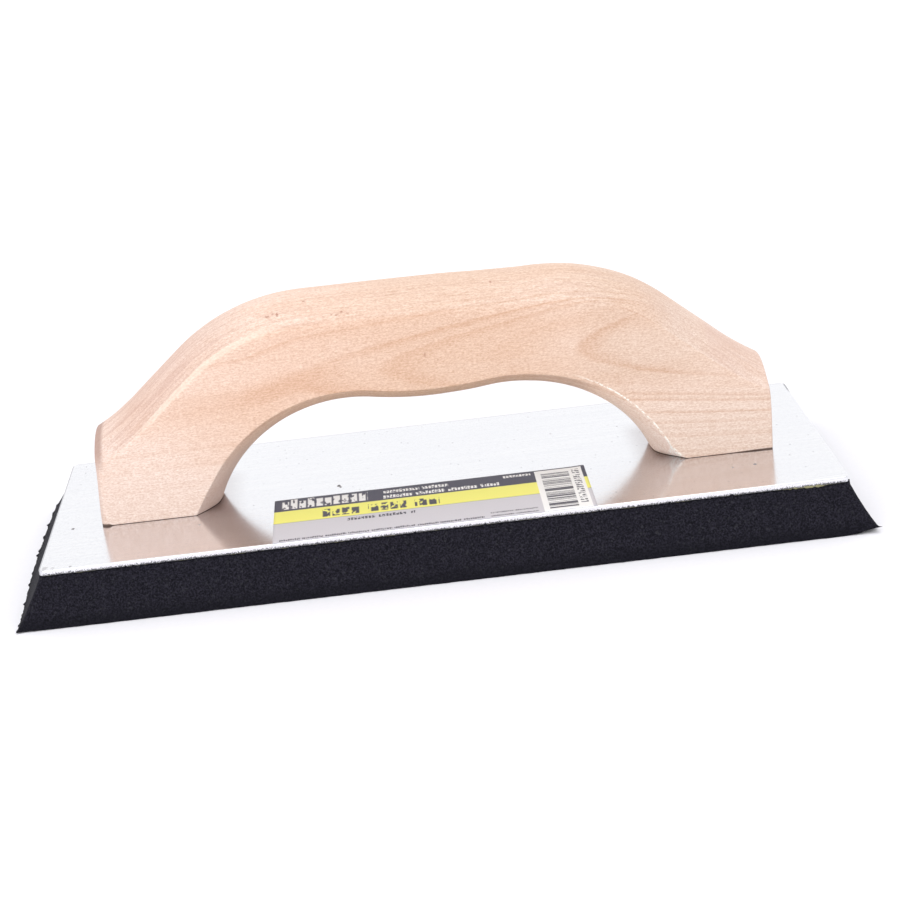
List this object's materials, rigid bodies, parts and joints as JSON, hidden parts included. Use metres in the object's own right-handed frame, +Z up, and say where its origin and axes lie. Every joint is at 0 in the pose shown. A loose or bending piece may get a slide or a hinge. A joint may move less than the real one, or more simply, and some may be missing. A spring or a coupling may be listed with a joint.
{
  "type": "rubber-faced hand float",
  "caption": "Hand float for grouting and finishing masonry: arched wooden handle screwed to a thin metal plate, with a thick rubber pad bonded underneath that flares to a flat working face.",
  "frame": {"origin": "centre of the pad's working face, on the ground plane", "axes": "+X along the float and its handle, +Y across the float away from the label, +Z up from the working face to the handle"},
  "size_m": [0.2414, 0.1016, 0.0752],
  "materials": {
    "handle_wood": "sanded bare hardwood",
    "plate_aluminium": "mill-finish rolled sheet, semi-gloss",
    "adhesive": "dried contact adhesive",
    "pad_rubber": "knife-cut closed-cell rubber",
    "label_paper": "printed and varnished sticker paper",
    "screw_steel": "zinc plated"
  },
  "bodies": {
    "root": {"wooden_handle": "handle_wood", "backing_plate": "plate_aluminium", "adhesive_film": "adhesive", "rubber_pad": "pad_rubber", "product_label": "label_paper", "screw_front_left": "screw_steel", "screw_rear_left": "screw_steel", "screw_front_right": "screw_steel", "screw_rear_right": "screw_steel"}
  },
  "joints": []
}
